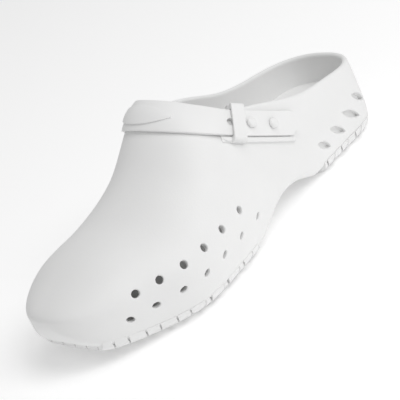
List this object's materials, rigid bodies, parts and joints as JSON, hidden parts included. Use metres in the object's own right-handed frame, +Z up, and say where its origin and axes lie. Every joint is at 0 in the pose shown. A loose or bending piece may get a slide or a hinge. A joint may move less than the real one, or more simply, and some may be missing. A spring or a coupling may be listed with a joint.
{
  "type": "operating room shoe",
  "caption": "White moulded foam clog for the left foot with a closed toe, side vents, slotted heel and a buttoned instep strap.",
  "frame": {"origin": "middle of the shoe's outline, on the floor", "axes": "+X from the heel to the toe, +Y to the outer side of the left foot, +Z up"},
  "size_m": [0.268, 0.1022, 0.0956],
  "materials": {
    "foam": "satin closed-cell foam with a fine moulded texture",
    "footbed": "matt foam"
  },
  "bodies": {
    "root": {"upper": "foam", "sole": "foam", "insole": "footbed", "strap": "foam", "strap_keeper": "foam", "button_rear": "foam", "button_front": "foam", "button_inner": "foam"}
  },
  "joints": []
}
